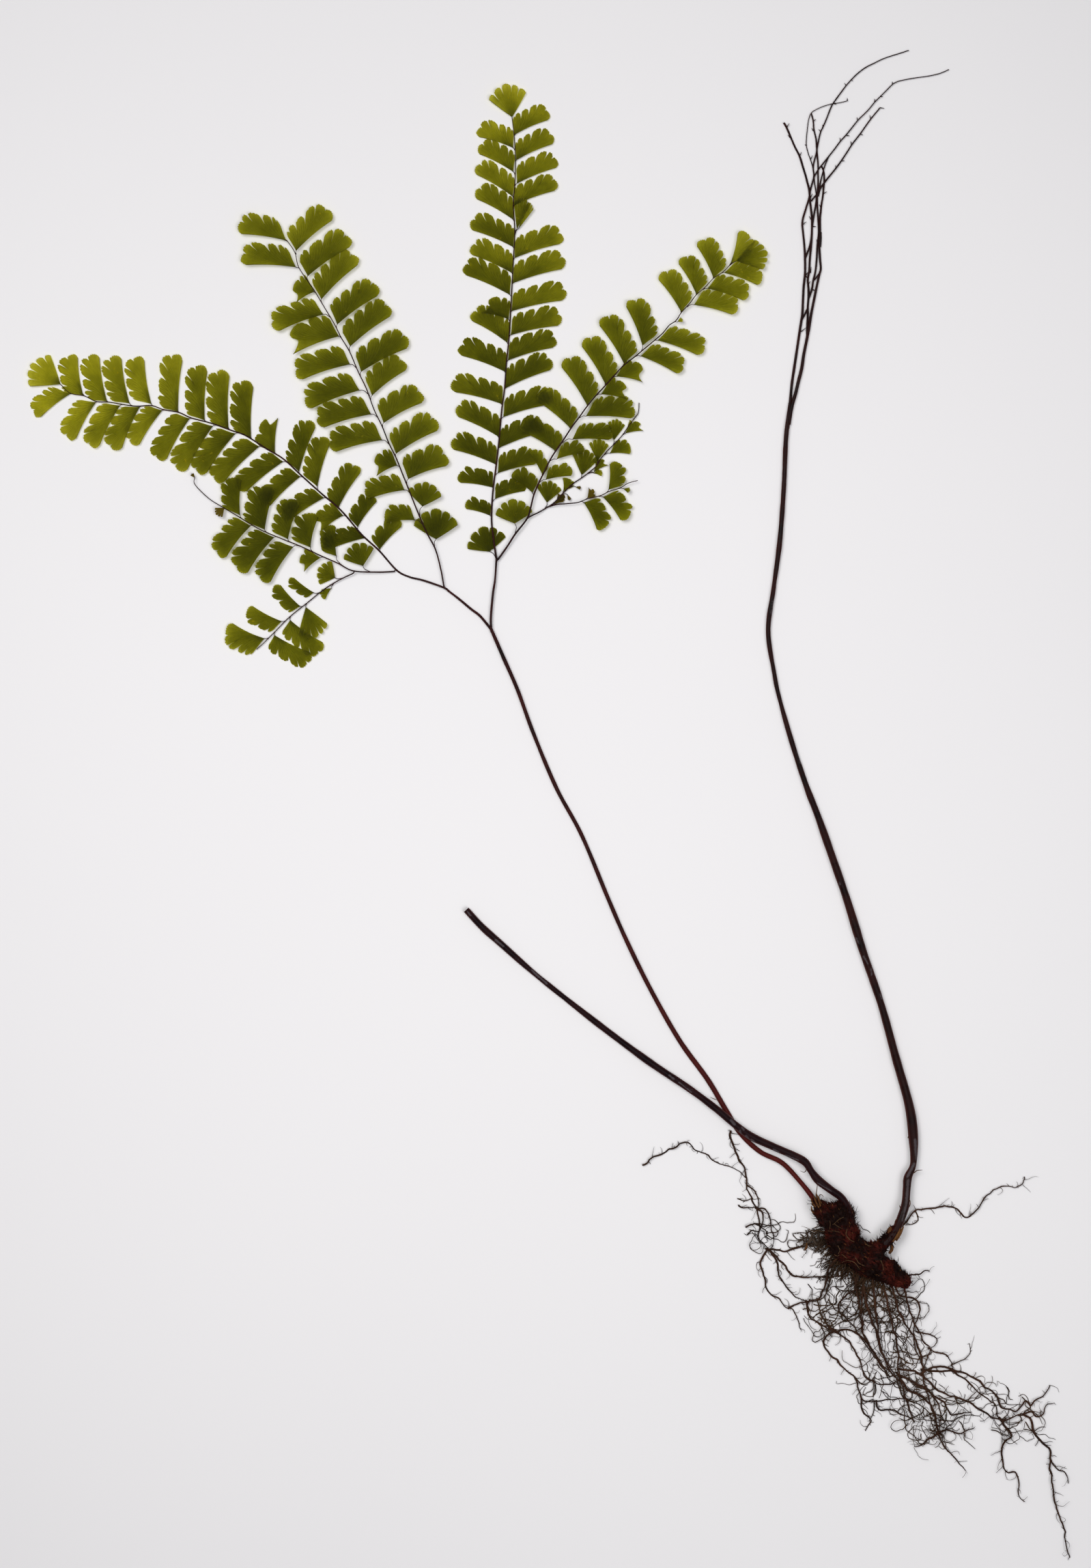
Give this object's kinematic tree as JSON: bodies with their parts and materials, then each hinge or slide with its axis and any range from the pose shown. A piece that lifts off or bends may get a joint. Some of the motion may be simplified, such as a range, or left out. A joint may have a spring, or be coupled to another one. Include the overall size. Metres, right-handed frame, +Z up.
{
  "type": "bare-root maidenhair fern",
  "caption": "Bare-root maidenhair fern lying flat, with a forked leafy frond, an old bare frond, a cut stalk and a scaly rootstock with wiry roots.",
  "frame": {"origin": "under the middle of the whole plant's bounding box, on the surface it lies on", "axes": "seen from above, +Y runs along the fronds, away from the roots, and +X to the right; +Z is up from the surface"},
  "size_m": [0.2794, 0.4039, 0.0086],
  "materials": {
    "leaf": "thin translucent olive green leaf",
    "stipe": "polished dark red-brown stalk",
    "old_stipe": "dry near-black stalk",
    "root": "matt dark brown root with red-brown scales"
  },
  "bodies": {
    "root": {"rootstock": "root", "old_cut_stipe": "old_stipe", "old_leafless_frond": "old_stipe", "fresh_stipe": "stipe", "pinna_1": "leaf", "pinna_2": "leaf", "pinna_3": "leaf", "pinna_4": "leaf", "pinna_5": "leaf", "pinna_6": "leaf", "pinna_7": "leaf", "pinna_8": "leaf"}
  },
  "joints": []
}
